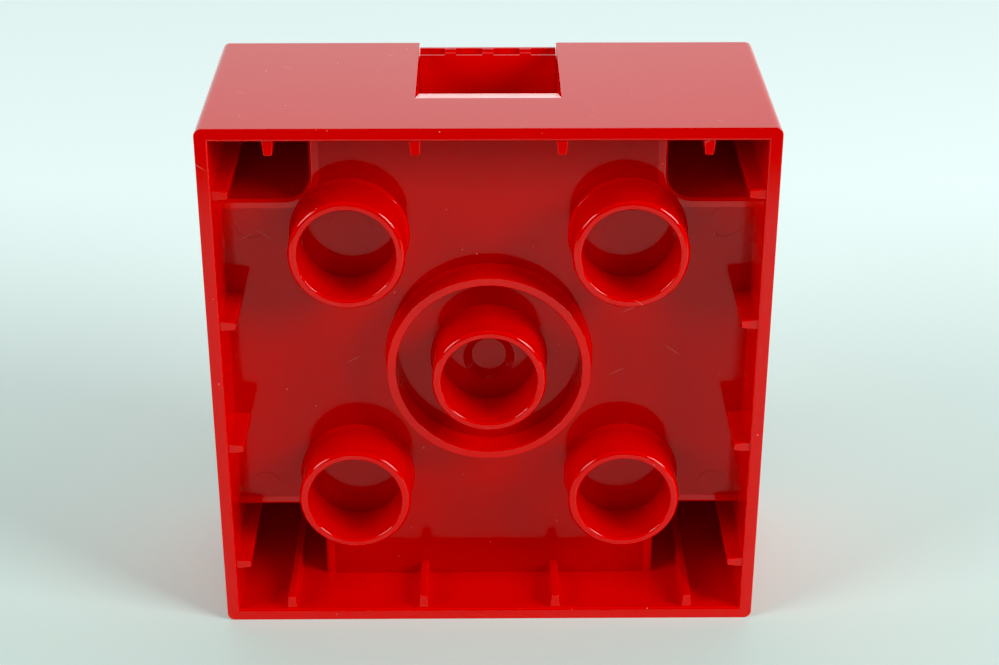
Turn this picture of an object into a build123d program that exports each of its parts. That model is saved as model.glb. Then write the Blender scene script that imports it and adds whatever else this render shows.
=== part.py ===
from build123d import *
import math
import os

# Toy block storage box, four by four pitches, with a base that clips onto studs,
# a container above it, a stud on each corner column and a hinged lid between the columns.
# Box frame while modelling, in millimetres: z runs from the open underside's rim to the mouth,
# the finger notch is in the front wall at -y and the lid's hinge is along the rear wall at +y.
# Each piece is turned at the end, so that the box stands on its rear wall with the underside to -Y.

# Block grid and outer sizes
stud_pitch = 16.0
stud_count = 4
side_gap = 0.2
brick_height = 19.2
wall = 1.5
corner_round = 0.9
rim_round = 0.12
inner_rim_round = 0.3
mouth_round = 0.12

box_width = stud_count * stud_pitch - side_gap
base_height = brick_height / 2
box_height = base_height + brick_height
half = box_width / 2
inner_half = half - wall
edge_row = (stud_count - 1) / 2 * stud_pitch

# How far a cut runs past its piece, and how close an edge lies to the place where it is looked up
overrun = 2.0
lookup_slack = 0.06

# Floor of the container, level with the base's height
floor_thickness = 1.6
floor_top = base_height
floor_depth = floor_top - floor_thickness
mark_depth = 0.04
mark_groove = 0.2
small_mark_diameter = 3.9
side_mark_x = 27.2
side_mark_y = 17.5
end_mark_y = 25.85
tube_mark_diameter = 6.15
gate_dimple_diameter = 6.05
gate_dimple_flat = 4.1
gate_dimple_depth = 0.8

# Studs on the corner columns
stud_diameter = 9.4
stud_bore = 6.4
stud_height = 4.5
stud_round = 0.45
stud_margin = 0.1

# Corner columns, open from below
column_wall = 1.1
column_roof = 1.5
pocket_round = 3.0
pocket_edge_round = 0.4
column_face = edge_row - stud_diameter / 2 - stud_margin
pocket_face = column_face + column_wall
column_round = pocket_round + column_wall

# Tubes, ring and ribs of the underside
stud_diagonal = math.sqrt(2) * stud_pitch
tube_slack = 0.03
tube_diameter = stud_diagonal - stud_diameter - tube_slack
tube_wall = 1.05
tube_setback = 1.7
ring_wall = 1.05
ring_spread = 0.2
ring_diameter = stud_diagonal + ring_wall + ring_spread
ring_setback = 4.6
ring_rim_round = 0.1
tube_outer_round = 0.45
tube_inner_round = 0.25
foot_height = 0.8
foot_spread = 0.3
rib_width = 1.3
rib_tip_width = 0.95
rib_squeeze = 0.05
rib_reach = inner_half - edge_row - stud_diameter / 2 + rib_squeeze
rib_setback = 0.3
rib_tip_round = rib_tip_width / 4
rib_nose_round = rib_tip_width / 8

# Finger notch in the front wall, and the well behind it
notch_width = 16.4
notch_depth = 16.4
notch_bottom = box_height - notch_depth
ramp_length = 2.9
ramp_drop = 0.52
ramp_flare = 35.0
well_wall = 1.2
well_depth = 8.0
well_back = half - well_depth

# Lid, flush with the mouth between the columns
lid_thickness = 1.5
lid_gap = 0.15
lid_seat_gap = 0.1
lid_edge_round = 0.2
lid_corner_round = 0.6
lid_bottom = box_height - lid_thickness
lid_side = inner_half - lid_gap
lid_arm = column_face - lid_gap
column_lid_round = column_round + lid_gap

# Hinge of the lid
barrel_diameter = 2.2
barrel_gap = 0.6
barrel_web = 0.7
pin_diameter = 1.2
pin_clearance = 0.05
pin_end_gap = 0.1
hinge_y = inner_half - barrel_gap - barrel_diameter / 2
hinge_z = box_height - barrel_diameter / 2
web_front = hinge_y - barrel_diameter / 2 - barrel_web

# Finger tab on the lid's front edge
tab_gap = 0.04
tab_lip_inset = 0.6
tab_lip_height = 0.4
tab_step = 0.4
tab_ledge_drop = 0.15
tab_pad_length = 5.5
tab_pad_drop = 1.0
tab_pad_land = 0.6
tab_half = notch_width / 2 - tab_gap
ridge_width = 1.4
ridge_length = 0.9
ridge_pitch = 4.5
ridges = 3

# Relief in the lid's wings, so that they swing past the rear studs
stud_reach = math.hypot(hinge_y - edge_row + stud_diameter / 2, box_height + stud_height - hinge_z)
relief_edge = hinge_y - stud_reach - lid_gap
relief_radius = 6.5

SIDES = {"left": -1, "right": 1}
ENDS = {"front": -1, "rear": 1}


def slab(x0, x1, y0, y1, z0, z1):
    """Box between two corners."""
    return Pos((x0 + x1) / 2, (y0 + y1) / 2, (z0 + z1) / 2) * Box(x1 - x0, y1 - y0, z1 - z0)


def post(x, y, diameter, z0, z1):
    """Upright cylinder between two heights."""
    return Pos(x, y, (z0 + z1) / 2) * Cylinder(diameter / 2, z1 - z0)


def ring_body(x, y, outside, inside, z0, z1):
    """Upright tube between two heights."""
    return post(x, y, outside, z0, z1) - post(x, y, inside, z0 - overrun, z1 + overrun)


def edges_at(shape, z):
    """Edges that lie level at one height."""
    return ShapeList(e for e in shape.edges() if is_level(e, z))


def is_level(edge, z):
    """True for an edge that lies wholly at one height."""
    box = edge.bounding_box()
    return abs(box.min.Z - z) < lookup_slack and abs(box.max.Z - z) < lookup_slack


def outer_wall():
    """Four walls in one square ring, with the finger notch through the front one."""
    block = slab(-half, half, -half, half, 0, box_height)
    block = fillet(block.edges().filter_by(Axis.Z), corner_round)
    block = fillet(edges_at(block, 0), rim_round)
    block = fillet(edges_at(block, box_height), mouth_round)
    walls = block - slab(-inner_half, inner_half, -inner_half, inner_half, -overrun, box_height + overrun)
    inside_rim = [e for e in edges_at(walls, 0) if inside_walls(e)]
    walls = fillet(inside_rim, inner_rim_round)
    notch = slab(-notch_width / 2, notch_width / 2, -half - overrun, -half + wall + overrun,
                 notch_bottom, box_height + overrun)
    return walls - notch - notch_ramp()


def inside_walls(edge):
    """True for an edge on the walls' inner faces."""
    c = edge.center()
    return max(abs(c.X), abs(c.Y)) <= inner_half + wall / 4


def notch_ramp():
    """Wedge that slopes the front face down into the notch, between ends that lean outwards."""
    start = notch_bottom - ramp_length
    outside, bottom = -half - overrun, -half + ramp_drop
    slope = Polygon((outside, start), (-half, start), (bottom, notch_bottom),
                    (bottom, notch_bottom + overrun), (outside, notch_bottom + overrun), align=None)
    wedge = extrude(Plane.YZ.offset(-notch_width) * slope, 2 * notch_width)
    lean = overrun * math.tan(math.radians(ramp_flare))
    wide, narrow = notch_width / 2 + lean, notch_width / 2 - lean
    ends = Polygon((-wide, outside), (wide, outside), (narrow, -half + overrun), (-narrow, -half + overrun),
                   align=None)
    return wedge & extrude(ends, box_height)


def corner_outline(x_side, y_side, face, rounding, low, high):
    """Square corner region from one face distance out to the walls, rounded at its inner corner."""
    region = slab(face, inner_half, face, inner_half, low, high)
    inner_edge = region.edges().filter_by(Axis.Z).sort_by(lambda e: e.center().X + e.center().Y)[0]
    region = fillet(inner_edge, rounding)
    if x_side < 0:
        region = mirror(region, Plane.YZ)
    if y_side < 0:
        region = mirror(region, Plane.XZ)
    return region


def corner_column(x_side, y_side):
    """Hollow column in one corner, open from below and roofed at the mouth."""
    column = corner_outline(x_side, y_side, column_face, column_round, floor_depth, box_height)
    column -= corner_outline(x_side, y_side, pocket_face, pocket_round, floor_depth - overrun,
                             box_height - column_roof)
    column = fillet([e for e in edges_at(column, floor_depth) if on_pocket(e)], pocket_edge_round)
    if y_side > 0:
        hole = Pos(x_side * (pocket_face - column_wall), hinge_y, hinge_z) * Rot(0, 90, 0)
        column -= hole * Cylinder(pin_diameter / 2 + pin_clearance, 2 * column_wall)
    return column


def on_pocket(edge):
    """True for an edge of a pocket's opening, and not for one that meets a wall or the column's outside."""
    box = edge.bounding_box()
    near_x = min(abs(box.min.X), abs(box.max.X))
    near_y = min(abs(box.min.Y), abs(box.max.Y))
    if edge.geom_type == GeomType.CIRCLE:
        return abs(edge.radius - pocket_round) < lookup_slack
    return abs(min(near_x, near_y) - pocket_face) < lookup_slack


def corner_stud(x_side, y_side):
    """Hollow stud on a corner column."""
    stud = ring_body(x_side * edge_row, y_side * edge_row, stud_diameter, stud_bore,
                     box_height, box_height + stud_height)
    return fillet(edges_at(stud, box_height + stud_height), stud_round)


def floor_plate():
    """Plate between base and container, cut round the columns, with the moulding marks of its underside."""
    plate = slab(-inner_half, inner_half, -inner_half, inner_half, floor_depth, floor_top)
    for x_side in SIDES.values():
        for y_side in ENDS.values():
            plate -= corner_outline(x_side, y_side, column_face, column_round,
                                    floor_depth - overrun, floor_top + overrun)
            for x, y in ((side_mark_x, side_mark_y), (side_mark_y, end_mark_y)):
                plate -= mark(x_side * x, y_side * y, small_mark_diameter)
            plate -= mark(x_side * stud_pitch, y_side * stud_pitch, tube_mark_diameter)
    dimple = Pos(0, 0, floor_depth + gate_dimple_depth / 2)
    return plate - dimple * Cone(gate_dimple_diameter / 2, gate_dimple_flat / 2, gate_dimple_depth)


def mark(x, y, diameter):
    """Fine round groove that an ejector leaves in the floor's underside."""
    return ring_body(x, y, diameter, diameter - 2 * mark_groove,
                     floor_depth - overrun, floor_depth + mark_depth)


def moulded_tube(diameter, thickness, rim, outer_round, inner_round):
    """Tube down from the floor to its rim, with rounded rim edges and a flared foot outside."""
    tube = ring_body(0, 0, diameter, diameter - 2 * thickness, rim, floor_depth)
    tube = fillet(edges_at(tube, rim).sort_by(SortBy.RADIUS)[-1], outer_round)
    tube = fillet(edges_at(tube, rim).sort_by(SortBy.RADIUS)[0], inner_round)
    side, foot = diameter / 2, floor_depth - foot_height
    flare = TangentArc((side, foot), (side + foot_spread, floor_depth), tangent=(0, 1))
    base = Polyline((side + foot_spread, floor_depth), (side - thickness / 2, floor_depth),
                    (side - thickness / 2, foot), (side, foot))
    return tube + revolve(make_face(Plane.XZ * (flare + base)), Axis.Z)


def clutch_tube(x, y):
    """Underside tube that fits between four studs."""
    return Pos(x, y, 0) * moulded_tube(tube_diameter, tube_wall, tube_setback, tube_outer_round, tube_inner_round)


def centre_ring():
    """Low ring round the centre tube, set back so that studs pass under it."""
    return moulded_tube(ring_diameter, ring_wall, ring_setback, ring_rim_round, ring_rim_round)


def clutch_rib(place, top):
    """Tapered rib on the front wall's inner face at one place along it, rounded at its tip and nose."""
    root, tip = -inner_half, rib_reach - inner_half
    outline = Polygon((place - rib_width / 2, root), (place + rib_width / 2, root),
                      (place + rib_tip_width / 2, tip), (place - rib_tip_width / 2, tip), align=None)
    rib = extrude(Plane.XY.offset(rib_setback) * outline, top - rib_setback)
    corners = [e for e in rib.edges().filter_by(Axis.Z) if abs(e.center().Y - tip) < lookup_slack]
    rib = fillet(corners, rib_tip_round)
    nose = [e for e in edges_at(rib, rib_setback) if e.center().Y > root + lookup_slack]
    return fillet(nose, rib_nose_round)


def ribs_on_all_walls(place, top):
    """The ribs at one distance either side of the middle of each wall."""
    return Compound([Rot(0, 0, turn) * clutch_rib(side * place, top)
                     for turn in (0, 90, 180, 270) for side in SIDES.values()])


def finger_well():
    """Two cheeks and a back wall that close the notch off from the container."""
    top = lid_bottom - lid_seat_gap
    outside = notch_width / 2 + well_wall
    well = slab(-outside, outside, -inner_half, -well_back + well_wall, floor_top, top)
    return well - slab(-notch_width / 2, notch_width / 2, -inner_half - overrun, -well_back,
                       floor_top - overrun, top + overrun)


def lid_panel():
    """Cross-shaped panel that fills the mouth between the corner columns."""
    arm = slab(-lid_arm, lid_arm, -lid_side, web_front, lid_bottom, box_height)
    wings = slab(-lid_side, lid_side, -lid_arm, lid_arm, lid_bottom, box_height)
    panel = arm + wings
    uprights = panel.edges().filter_by(Axis.Z)
    inner = [e for e in uprights if near(e, lid_arm, -lid_arm)]
    panel = fillet(inner, column_lid_round)
    uprights = panel.edges().filter_by(Axis.Z)
    outer = [e for e in uprights if near(e, lid_side, -lid_arm) or near(e, lid_side, lid_arm)
             or near(e, lid_arm, -lid_side)]
    panel = fillet(outer, lid_corner_round)
    for side in SIDES.values():
        panel -= post(side * edge_row, relief_edge + relief_radius, 2 * relief_radius,
                      lid_bottom - overrun, box_height + overrun)
    rim = [e for e in edges_at(panel, box_height) if e.center().Y < web_front - lookup_slack
           and not abs(e.center().Y + lid_side) < lookup_slack]
    return fillet(rim, lid_edge_round)


def near(edge, x, y):
    """True for an upright edge at one distance either side of the middle plane and one place along it."""
    c = edge.center()
    return abs(abs(c.X) - x) < lookup_slack and abs(c.Y - y) < lookup_slack


def finger_tab():
    """Lip that stands in the notch, and the sloped pad below it that a finger pushes up."""
    lip_front, step_front = -half + tab_lip_inset, -half + tab_lip_inset + tab_step
    ledge_front = step_front + tab_ledge_drop
    lip_low, pad_low = box_height - tab_lip_height, lid_bottom - tab_pad_drop
    pad_end = step_front + tab_pad_length
    land_end = pad_end + tab_pad_land
    outline = Polyline((pad_end, pad_low), (land_end, pad_low), (land_end, lid_bottom),
                       (-lid_side, lid_bottom), (-lid_side, box_height), (lip_front, box_height),
                       (lip_front, lip_low), (step_front, lip_low), (ledge_front, lid_bottom))
    slope = TangentArc((pad_end, pad_low), (ledge_front, lid_bottom), tangent=(-1, 0))
    profile = make_face(Plane.YZ.offset(-tab_half) * (outline + slope))
    return extrude(profile, dir=(1, 0, 0), amount=2 * tab_half)


def grip_ridges():
    """Short teeth that run down from the lip onto the tab's ledge."""
    front, low = -half + tab_lip_inset, box_height - tab_lip_height
    foot = front + tab_step + tab_ledge_drop * ridge_length / (low - lid_bottom)
    crest = TangentArc((front, low), (foot, low - ridge_length), tangent=(0, -1))
    base = Polyline((foot, low - ridge_length), (front + tab_step, low), (front, low))
    profile = make_face(Plane.YZ * (crest + base))
    places = [(i - (ridges - 1) / 2) * ridge_pitch - ridge_width / 2 for i in range(ridges)]
    return Compound([Pos(x, 0, 0) * extrude(profile, dir=(1, 0, 0), amount=ridge_width) for x in places])


def hinge_barrel():
    """Round barrel along the lid's rear edge, with the web that carries the panel."""
    barrel = Pos(0, hinge_y, hinge_z) * Rot(0, 90, 0) * Cylinder(barrel_diameter / 2, 2 * lid_arm)
    return barrel + slab(-lid_arm, lid_arm, web_front, hinge_y, lid_bottom, box_height)


def hinge_pin(side):
    """Short pin on one end of the barrel, which turns in the rear column's wall."""
    length = pocket_face - pin_end_gap - lid_arm
    middle = Pos(side * (lid_arm + length / 2), hinge_y, hinge_z)
    return middle * Rot(0, 90, 0) * Cylinder(pin_diameter / 2, length)


def stand_up(shape):
    """Turns a piece from the box frame onto the rear wall, with the origin under the middle of the box."""
    return Pos(0, -(box_height + stud_height) / 2, half) * Rot(-90, 0, 0) * shape


def all_pieces():
    """Every named piece in the box frame."""
    pieces = {"outer_wall": outer_wall(), "floor_plate": floor_plate(), "finger_well": finger_well()}
    for end, y_side in ENDS.items():
        for side, x_side in SIDES.items():
            corner = f"{end}_{side}"
            pieces[f"corner_column_{corner}"] = corner_column(x_side, y_side)
            pieces[f"corner_stud_{corner}"] = corner_stud(x_side, y_side)
            pieces[f"clutch_tube_{corner}"] = clutch_tube(x_side * stud_pitch, y_side * stud_pitch)
    pieces["clutch_tube_centre"] = clutch_tube(0, 0)
    pieces["centre_ring"] = centre_ring()
    pieces["clutch_ribs_middle"] = ribs_on_all_walls(edge_row - stud_pitch, floor_depth)
    pieces["clutch_ribs_corner"] = ribs_on_all_walls(edge_row, box_height - column_roof)
    pieces["lid_panel"] = lid_panel()
    pieces["lid_finger_tab"] = finger_tab()
    pieces["lid_grip_ridges"] = grip_ridges()
    pieces["lid_hinge_barrel"] = hinge_barrel()
    for side, x_side in SIDES.items():
        pieces[f"lid_hinge_pin_{side}"] = hinge_pin(x_side)
    return pieces


os.makedirs("parts", exist_ok=True)
for name, piece in all_pieces().items():
    export_step(stand_up(piece), f"parts/{name}.step")
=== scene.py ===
import math

import bpy
from mathutils import Matrix, Vector


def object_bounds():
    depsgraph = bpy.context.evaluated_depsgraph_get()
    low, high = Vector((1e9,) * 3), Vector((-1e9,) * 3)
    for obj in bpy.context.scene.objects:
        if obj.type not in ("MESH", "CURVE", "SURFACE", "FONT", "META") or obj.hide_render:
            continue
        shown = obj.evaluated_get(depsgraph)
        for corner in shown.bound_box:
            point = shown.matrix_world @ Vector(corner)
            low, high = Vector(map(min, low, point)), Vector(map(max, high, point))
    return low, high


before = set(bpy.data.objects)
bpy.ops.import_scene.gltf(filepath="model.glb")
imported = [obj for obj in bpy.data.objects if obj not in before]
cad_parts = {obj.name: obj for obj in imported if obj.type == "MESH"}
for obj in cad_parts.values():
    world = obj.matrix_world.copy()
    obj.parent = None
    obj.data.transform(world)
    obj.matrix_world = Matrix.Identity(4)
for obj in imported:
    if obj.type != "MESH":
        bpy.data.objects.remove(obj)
cad_box = [list(corner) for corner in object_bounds()]

MM = 0.001

# Camera of the photograph, fitted to the box's edges, tubes and ribs
PHOTO_WIDTH = 999
FOCAL_PIXELS = 2005.6
SENSOR_WIDTH = 36.0
CAMERA_PLACE = Vector((-0.702, -219.355, 141.779)) * MM
CAMERA_DOWN = 0.468551
CAMERA_TURN = 0.009267
CAMERA_ROLL = 0.000702
CAMERA_REACH = (10 * MM, 10.0)

# Softboxes on either side of the table: place, width and radiance, and the point that both face
SOFTBOXES = {
    "right": (Vector((465, -248, 283)) * MM, 255 * MM, 10.7),
    "left": (Vector((-594, -307, 330)) * MM, 320 * MM, 6.4),
}
SOFTBOX_TARGET = Vector((0, 0, 30)) * MM

# Soft glows of the room: degrees from the rear towards the right, degrees up, sharpness and radiance
GLOWS = {
    "horizon": (0, 0, 60.0, 1.3),
    "backdrop": (0, 4, 3.0, 1.38),
    "rear_wall": (0, 48, 5.0, 0.27),
    "ceiling": (180, 68, 30.0, 1.2),
    "front_fill": (180, 25, 4.0, 0.13),
}

# Pale paper, cooler towards the back; a painted glow makes it brighter towards the back, and painted shade
# darkens its front edge
PAPER_SIZE = 3.0
PAPER_NEAR = (0.74, 0.96, 0.90)
PAPER_FAR = (0.80, 0.95, 0.93)
PAPER_PAINTED_SHADE = (0.25, 0.30, 0.28)
PAPER_PAINTED_GLOW = (0.062, 0.40)
PAPER_PAINTED_GLARE = 0.64
PAPER_ROUGHNESS = 0.85
PAPER_SPECULAR = 0.2
PAINTED_SHADE_Y = (-168 * MM, -138 * MM)
SHINE_Y = (-20 * MM, 120 * MM)
PAINTED_GLARE_Y = (300 * MM, 600 * MM)

# Fibre grain of the paper: spots per metre, then depth and strength
FIBRE_SCALE = 1800
FIBRE_BUMP = (0.02 * MM, 0.3)

# Depth of the colours against the rendered ones
SATURATION = 1.03

# Red moulded plastic: lighter and deeper tone and refractive index, for the floor plate and for the rest; the
# floor plate's copy is darker and less reflective, as painted shade for its recess behind the walls
SHADED_FLOOR_RED = ((0.65, 0.004, 0.003, 1), (0.61, 0.003, 0.002, 1), 1.41)
WALL_RED = ((0.87, 0.003, 0.002, 1), (0.82, 0.002, 0.002, 1), 1.53)
GLOSS_ROUGHNESS = 0.10
SMUDGE_ROUGHNESS = 0.20
DUST_ROUGHNESS = 0.6

# Uneven plastic: spots per metre, detail and roughness of each noise, and what is made of it
FLOW_NOISE = (45, 3.0)
SMUDGE_NOISE = (110, 4.0, 0.6)
SMUDGE_RANGE = (0.50, 0.75)
PEEL_NOISE = (320, 1.0)
PEEL_BUMP = (0.004 * MM, 0.25)

# Dust and nicks: cells per metre, size of a speck in its cell and share of the cells that have one
DUST_SPECKS = (620, 0.06, 0.22)
NICK_SPECKS = (900, 0.09, 0.30)

# Hairlines: turn of the way they run, then as for dust, and how far they are drawn out
FALLING_HAIRLINES = ((0, 0.9553, 0.7854), 500, 0.018, 0.16)
RISING_HAIRLINES = ((0, 0.7, -2.2), 430, 0.016, 0.14)
HAIRLINE_STRETCH = 22.0
HAIRLINE_STRENGTH = 0.35

# All marks together: colour, how much of it shows, and depth and strength of the bump
MARK_COLOUR = (0.90, 0.55, 0.48, 1)
MARK_TINT = 0.7
MARK_BUMP = (0.03 * MM, 0.4)

# Wear on the underside's rim, which rubs on the table: where it fades in, from the front plane backwards
RIM_Y = cad_box[0][1]
WEAR_Y = (RIM_Y + 0.9 * MM, RIM_Y + 0.1 * MM)


class Nodes:
    """Short calls for building the node tree of a material or a world."""

    def __init__(self, owner):
        self.tree = owner.node_tree

    def add(self, kind, **inputs):
        node = self.tree.nodes.new(kind)
        for name, value in inputs.items():
            self.put(node.inputs[name.replace("_", " ")], value)
        return node

    def put(self, socket, value):
        if isinstance(value, bpy.types.NodeSocket):
            self.tree.links.new(value, socket)
        else:
            socket.default_value = value

    def noise(self, vector, scale, detail=2.0, rough=0.5):
        node = self.add("ShaderNodeTexNoise", Vector=vector, Scale=scale, Detail=detail, Roughness=rough)
        return node.outputs["Fac"]

    def remap(self, value, low, high, to_low=0.0, to_high=1.0, curve="LINEAR"):
        node = self.add("ShaderNodeMapRange", Value=value, From_Min=low, From_Max=high,
                        To_Min=to_low, To_Max=to_high)
        node.interpolation_type = curve
        return node.outputs["Result"]

    def math(self, operation, *values):
        node = self.tree.nodes.new("ShaderNodeMath")
        node.operation = operation
        for socket, value in zip(node.inputs, values):
            self.put(socket, value)
        return node.outputs[0]

    def dot(self, vector, direction):
        node = self.tree.nodes.new("ShaderNodeVectorMath")
        node.operation = "DOT_PRODUCT"
        self.put(node.inputs[0], vector)
        node.inputs[1].default_value = direction
        return node.outputs["Value"]

    def mix(self, factor, a, b):
        node = self.tree.nodes.new("ShaderNodeMix")
        node.data_type = "RGBA"
        self.put(node.inputs["Factor"], factor)
        self.put(node.inputs["A"], a)
        self.put(node.inputs["B"], b)
        return node.outputs["Result"]

    def bump(self, height, distance, strength, normal=None):
        node = self.add("ShaderNodeBump", Height=height, Distance=distance, Strength=strength)
        if normal is not None:
            self.put(node.inputs["Normal"], normal)
        return node.outputs["Normal"]


def add_camera():
    """Camera at the photograph's place, angle and focal length."""
    data = bpy.data.cameras.new("photo_camera")
    data.sensor_width = SENSOR_WIDTH
    data.lens = FOCAL_PIXELS / PHOTO_WIDTH * SENSOR_WIDTH
    data.clip_start, data.clip_end = CAMERA_REACH
    camera = bpy.data.objects.new("photo_camera", data)
    bpy.context.scene.collection.objects.link(camera)
    forward = Vector((math.sin(CAMERA_TURN) * math.cos(CAMERA_DOWN),
                      math.cos(CAMERA_TURN) * math.cos(CAMERA_DOWN), -math.sin(CAMERA_DOWN)))
    level = Vector((math.cos(CAMERA_TURN), -math.sin(CAMERA_TURN), 0))
    upright = level.cross(forward)
    right = math.cos(CAMERA_ROLL) * level + math.sin(CAMERA_ROLL) * upright
    up = math.cos(CAMERA_ROLL) * upright - math.sin(CAMERA_ROLL) * level
    turn = Matrix((right, up, -forward)).transposed().to_4x4()
    camera.matrix_world = Matrix.Translation(CAMERA_PLACE) @ turn
    bpy.context.scene.camera = camera


def add_softbox(name, place, width, radiance):
    """Square lamp that shines at the box."""
    data = bpy.data.lights.new(f"softbox_{name}", "AREA")
    data.shape = "SQUARE"
    data.size = width
    data.energy = radiance * math.pi * width ** 2
    lamp = bpy.data.objects.new(data.name, data)
    lamp.location = place
    lamp.rotation_euler = (SOFTBOX_TARGET - place).to_track_quat("-Z", "Y").to_euler()
    bpy.context.scene.collection.objects.link(lamp)


def add_world():
    """Dark room with soft glows in a few directions."""
    world = bpy.data.worlds.new("photo_room")
    bpy.context.scene.world = world
    world.use_nodes = True
    make = Nodes(world)
    make.tree.nodes.clear()
    way = make.add("ShaderNodeTexCoord").outputs["Generated"]
    total = 0.0
    for turn, up, sharpness, radiance in GLOWS.values():
        turn, up = math.radians(turn), math.radians(up)
        middle = (math.sin(turn) * math.cos(up), math.cos(turn) * math.cos(up), math.sin(up))
        nearness = make.math("MULTIPLY_ADD", make.dot(way, middle), sharpness, -sharpness)
        total = make.math("MULTIPLY_ADD", make.math("EXPONENT", nearness), radiance, total)
    background = make.add("ShaderNodeBackground", Strength=total)
    output = make.add("ShaderNodeOutputWorld")
    make.put(output.inputs["Surface"], background.outputs["Background"])


def paper_material():
    """Matt pale paper with a painted glow that is brighter towards the back, painted shade at its front edge,
    and a faint fibre grain.
    """
    material = bpy.data.materials.new("pale_paper_painted_glow")
    material.use_nodes = True
    make = Nodes(material)
    shader = material.node_tree.nodes["Principled BSDF"]
    shader.inputs["Roughness"].default_value = PAPER_ROUGHNESS
    shader.inputs["Specular IOR Level"].default_value = PAPER_SPECULAR
    place = make.add("ShaderNodeTexCoord").outputs["Object"]
    depth = make.add("ShaderNodeSeparateXYZ", Vector=place).outputs["Y"]
    tint = make.mix(make.remap(depth, *SHINE_Y), (*PAPER_NEAR, 1), (*PAPER_FAR, 1))
    # Painted shade: the paper's colour darkens towards its front edge
    tint = make.mix(make.remap(depth, *PAINTED_SHADE_Y), (*PAPER_PAINTED_SHADE, 1), tint)
    # Painted light: the paper glows, faintly near the box and more strongly far behind it
    glare = make.math("MULTIPLY", make.remap(depth, *PAINTED_GLARE_Y), PAPER_PAINTED_GLARE)
    shine = make.remap(depth, *SHINE_Y, *PAPER_PAINTED_GLOW)
    make.put(shader.inputs["Base Color"], tint)
    make.put(shader.inputs["Emission Color"], tint)
    make.put(shader.inputs["Emission Strength"], make.math("ADD", shine, glare))
    make.put(shader.inputs["Normal"], make.bump(make.noise(place, FIBRE_SCALE), *FIBRE_BUMP))
    return material


def add_paper():
    """Sheet of paper under the box."""
    half = PAPER_SIZE / 2
    mesh = bpy.data.meshes.new("paper")
    corners = [(-half, -half, 0), (half, -half, 0), (half, half, 0), (-half, half, 0)]
    mesh.from_pydata(corners, [], [(0, 1, 2, 3)])
    paper = bpy.data.objects.new("paper", mesh)
    mesh.materials.append(paper_material())
    bpy.context.scene.collection.objects.link(paper)


def specks(make, place, scale, size, share, dimensions="3D"):
    """Small round specks in a share of the cells of a loose grid."""
    cells = make.tree.nodes.new("ShaderNodeTexVoronoi")
    cells.voronoi_dimensions = dimensions
    make.put(cells.inputs["Vector"], place)
    make.put(cells.inputs["Scale"], scale)
    near = make.remap(cells.outputs["Distance"], size, size / 2)
    chance = make.add("ShaderNodeSeparateColor", Color=cells.outputs["Color"]).outputs[0]
    return make.math("MULTIPLY", near, make.math("LESS_THAN", chance, share))


def hairlines(make, place, turn, scale, size, share):
    """Fine straight scratches: specks on a plane that cuts every face, drawn out along one way."""
    way = make.add("ShaderNodeMapping", Vector=place, Rotation=turn, Scale=(1.0, HAIRLINE_STRETCH, 1.0))
    way.vector_type = "TEXTURE"
    return specks(make, way.outputs["Vector"], scale, size, share, "2D")


def red_plastic(name, light, deep, index):
    """Glossy red moulded plastic with faint flow marks, smudges, scratches, dust and a worn rim."""
    material = bpy.data.materials.new(name)
    material.use_nodes = True
    make = Nodes(material)
    shader = material.node_tree.nodes["Principled BSDF"]
    place = make.add("ShaderNodeTexCoord").outputs["Object"]
    depth = make.add("ShaderNodeSeparateXYZ", Vector=place).outputs["Y"]

    smudge = make.remap(make.noise(place, *SMUDGE_NOISE), *SMUDGE_RANGE)
    worn = make.remap(depth, *WEAR_Y, curve="SMOOTHSTEP")
    nicks = make.math("MULTIPLY", specks(make, place, *NICK_SPECKS), worn)
    spots = make.math("MAXIMUM", specks(make, place, *DUST_SPECKS), nicks)
    lines = make.math("MAXIMUM", hairlines(make, place, *FALLING_HAIRLINES),
                      hairlines(make, place, *RISING_HAIRLINES))
    marks = make.math("MAXIMUM", spots, make.math("MULTIPLY", lines, HAIRLINE_STRENGTH))

    red = make.mix(make.noise(place, *FLOW_NOISE), deep, light)
    gloss = make.remap(smudge, 0, 1, GLOSS_ROUGHNESS, SMUDGE_ROUGHNESS)
    rough = make.math("MAXIMUM", gloss, make.math("MULTIPLY", marks, DUST_ROUGHNESS))
    wavy = make.bump(make.noise(place, *PEEL_NOISE), *PEEL_BUMP)
    make.put(shader.inputs["Base Color"], make.mix(make.math("MULTIPLY", marks, MARK_TINT), red, MARK_COLOUR))
    make.put(shader.inputs["Roughness"], rough)
    make.put(shader.inputs["Normal"], make.bump(marks, *MARK_BUMP, wavy))
    shader.inputs["IOR"].default_value = index
    return material


def dress():
    """Gives every CAD node its plastic, with the darker painted-shade copy on the floor plate."""
    # Painted shade: the floor plate's red is darker than the walls' red, for the shade of its recess
    wall_red, floor_red_painted_shade = red_plastic("wall_red", *WALL_RED), red_plastic("floor_red_painted_shade", *SHADED_FLOOR_RED)
    for name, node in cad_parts.items():
        node.data.materials.clear()
        node.data.materials.append(floor_red_painted_shade if name == "floor_plate" else wall_red)


def develop():
    """Standard view, with slightly deeper colours."""
    scene = bpy.context.scene
    scene.view_settings.view_transform = "Standard"
    scene.use_nodes = True
    tree = scene.node_tree
    tree.nodes.clear()
    layers = tree.nodes.new("CompositorNodeRLayers")
    deepen = tree.nodes.new("CompositorNodeHueSat")
    deepen.inputs["Saturation"].default_value = SATURATION
    output = tree.nodes.new("CompositorNodeComposite")
    tree.links.new(layers.outputs["Image"], deepen.inputs["Image"])
    tree.links.new(deepen.outputs["Image"], output.inputs["Image"])


add_camera()
add_world()
add_paper()
for name, (place, width, radiance) in SOFTBOXES.items():
    add_softbox(name, place, width, radiance)
dress()
develop()
